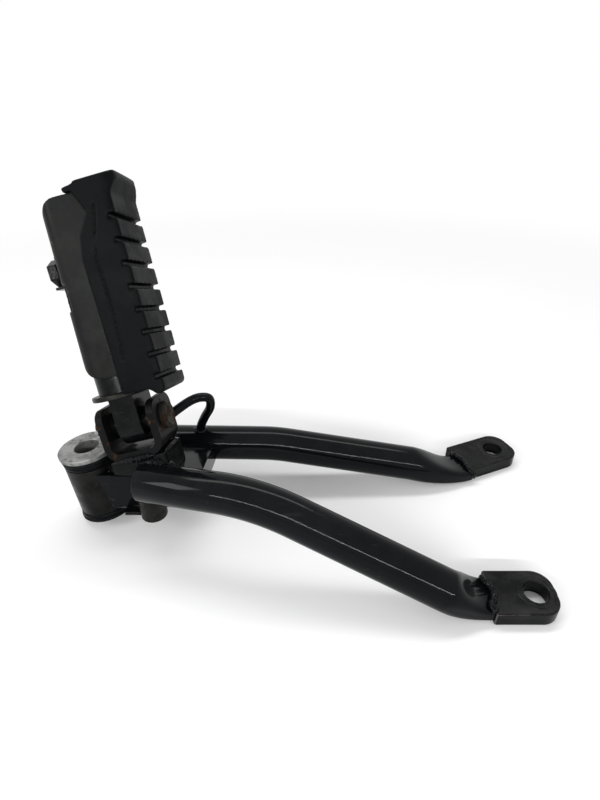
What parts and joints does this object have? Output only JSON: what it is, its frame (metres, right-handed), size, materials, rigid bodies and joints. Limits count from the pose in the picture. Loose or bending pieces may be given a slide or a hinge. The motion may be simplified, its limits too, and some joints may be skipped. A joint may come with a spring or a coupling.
{
  "type": "motorbike passenger footpeg",
  "caption": "Folding passenger footpeg with a grooved rubber tread on a welded tube hanger, with bolt lugs, a bushed exhaust mount and a hook rod.",
  "frame": {"origin": "middle of the front lug hole, on the lug's lower face", "axes": "+Z along the lug holes, up from the plane that the part lies on; +X from the peg towards the lugs, along the longest extent; +Y from the front tube to the rear tube"},
  "size_m": [0.2506, 0.1267, 0.1666],
  "materials": {
    "gloss_black": "gloss",
    "satin_black": "satin",
    "dull_zinc": "satin",
    "zinc": "satin",
    "pin_steel": "worn",
    "core_steel": "satin",
    "rubber": "matte",
    "cast_shell": "satin"
  },
  "bodies": {
    "bracket": {"front_tube": "gloss_black", "rear_tube": "gloss_black", "front_lug": "gloss_black", "rear_lug": "gloss_black", "bridge_plate": "satin_black", "saddle": "satin_black", "clevis": "gloss_black", "bush_sleeve": "satin_black", "bush_web": "satin_black", "under_boss": "dull_zinc", "upper_bush": "rubber", "lower_bush": "rubber", "steel_collar": "zinc", "hook_rod": "gloss_black", "pivot_pin": "pin_steel", "pin_washer": "zinc", "split_pin": "zinc"},
    "peg": {"peg_core": "core_steel", "neck_ring": "dull_zinc", "tread_rubber": "rubber", "under_shell": "cast_shell", "tab_washer": "satin_black", "keep_screw": "satin_black"}
  },
  "joints": [
    {"name": "peg_fold", "type": "hinge", "parent": "bracket", "child": "peg", "pos_m": [-0.1835, 0.0579, 0.0591], "axis": [0.9681, 0, 0.2504], "range_deg": [0, 85]}
  ]
}
